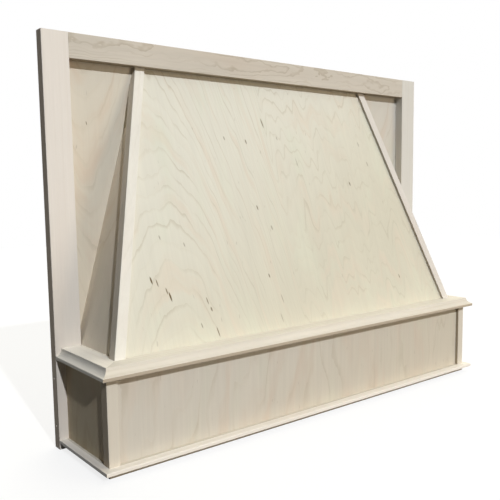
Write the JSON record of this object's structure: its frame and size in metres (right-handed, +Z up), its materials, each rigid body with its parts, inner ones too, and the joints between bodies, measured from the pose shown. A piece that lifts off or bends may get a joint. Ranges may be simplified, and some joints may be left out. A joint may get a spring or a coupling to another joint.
{
  "type": "range hood cover",
  "caption": "Unfinished wooden range hood cover: upright face frame, panelled chimney that leans back and tapers inwards, coved mantel shelf and a shallow panelled box, open behind and below.",
  "frame": {"origin": "middle of the footprint of the whole cover, level with the underside of the box and stiles", "axes": "+X to the viewer's right along the front, +Y from the front towards the wall, +Z up"},
  "size_m": [0.9144, 0.2282, 0.673],
  "materials": {
    "maple_board": "unfinished solid maple, sanded",
    "maple_plywood": "unfinished maple-faced plywood, sanded",
    "maple_cleat": "planed maple strip, out of sight, left rougher than the show wood",
    "biscuit_beech": "pressed beech, glued into its slot",
    "screw_steel": "zinc-plated steel"
  },
  "bodies": {
    "root": {"apron_panel": "maple_plywood", "bottom_strip_front": "maple_board", "bottom_strip_left": "maple_board", "bottom_strip_right": "maple_board", "box_front_rail": "maple_board", "box_left_rail": "maple_board", "box_right_rail": "maple_board", "chimney_front_cleat": "maple_cleat", "chimney_front_panel": "maple_plywood", "chimney_head_cleat": "maple_cleat", "cleat_screws": "screw_steel", "frame_pocket_screws": "screw_steel", "left_back_panel": "maple_plywood", "left_box_post": "maple_board", "left_box_side": "maple_plywood", "left_chimney_cleat": "maple_cleat", "left_chimney_post": "maple_board", "left_chimney_side": "maple_plywood", "left_stile": "maple_board", "left_stile_cleat": "maple_cleat", "liner_front_ledge": "maple_cleat", "liner_left_ledge": "maple_cleat", "liner_right_ledge": "maple_cleat", "mantel_front": "maple_board", "mantel_front_cleat": "maple_cleat", "mantel_left_cleat": "maple_cleat", "mantel_left_return": "maple_board", "mantel_right_cleat": "maple_cleat", "mantel_right_return": "maple_board", "mitre_biscuits": "biscuit_beech", "right_back_panel": "maple_plywood", "right_box_post": "maple_board", "right_box_side": "maple_plywood", "right_chimney_cleat": "maple_cleat", "right_chimney_post": "maple_board", "right_chimney_side": "maple_plywood", "right_stile": "maple_board", "right_stile_cleat": "maple_cleat", "soffit_cleat": "maple_cleat", "soffit_cleat_screws": "screw_steel", "top_rail": "maple_board"}
  },
  "joints": []
}
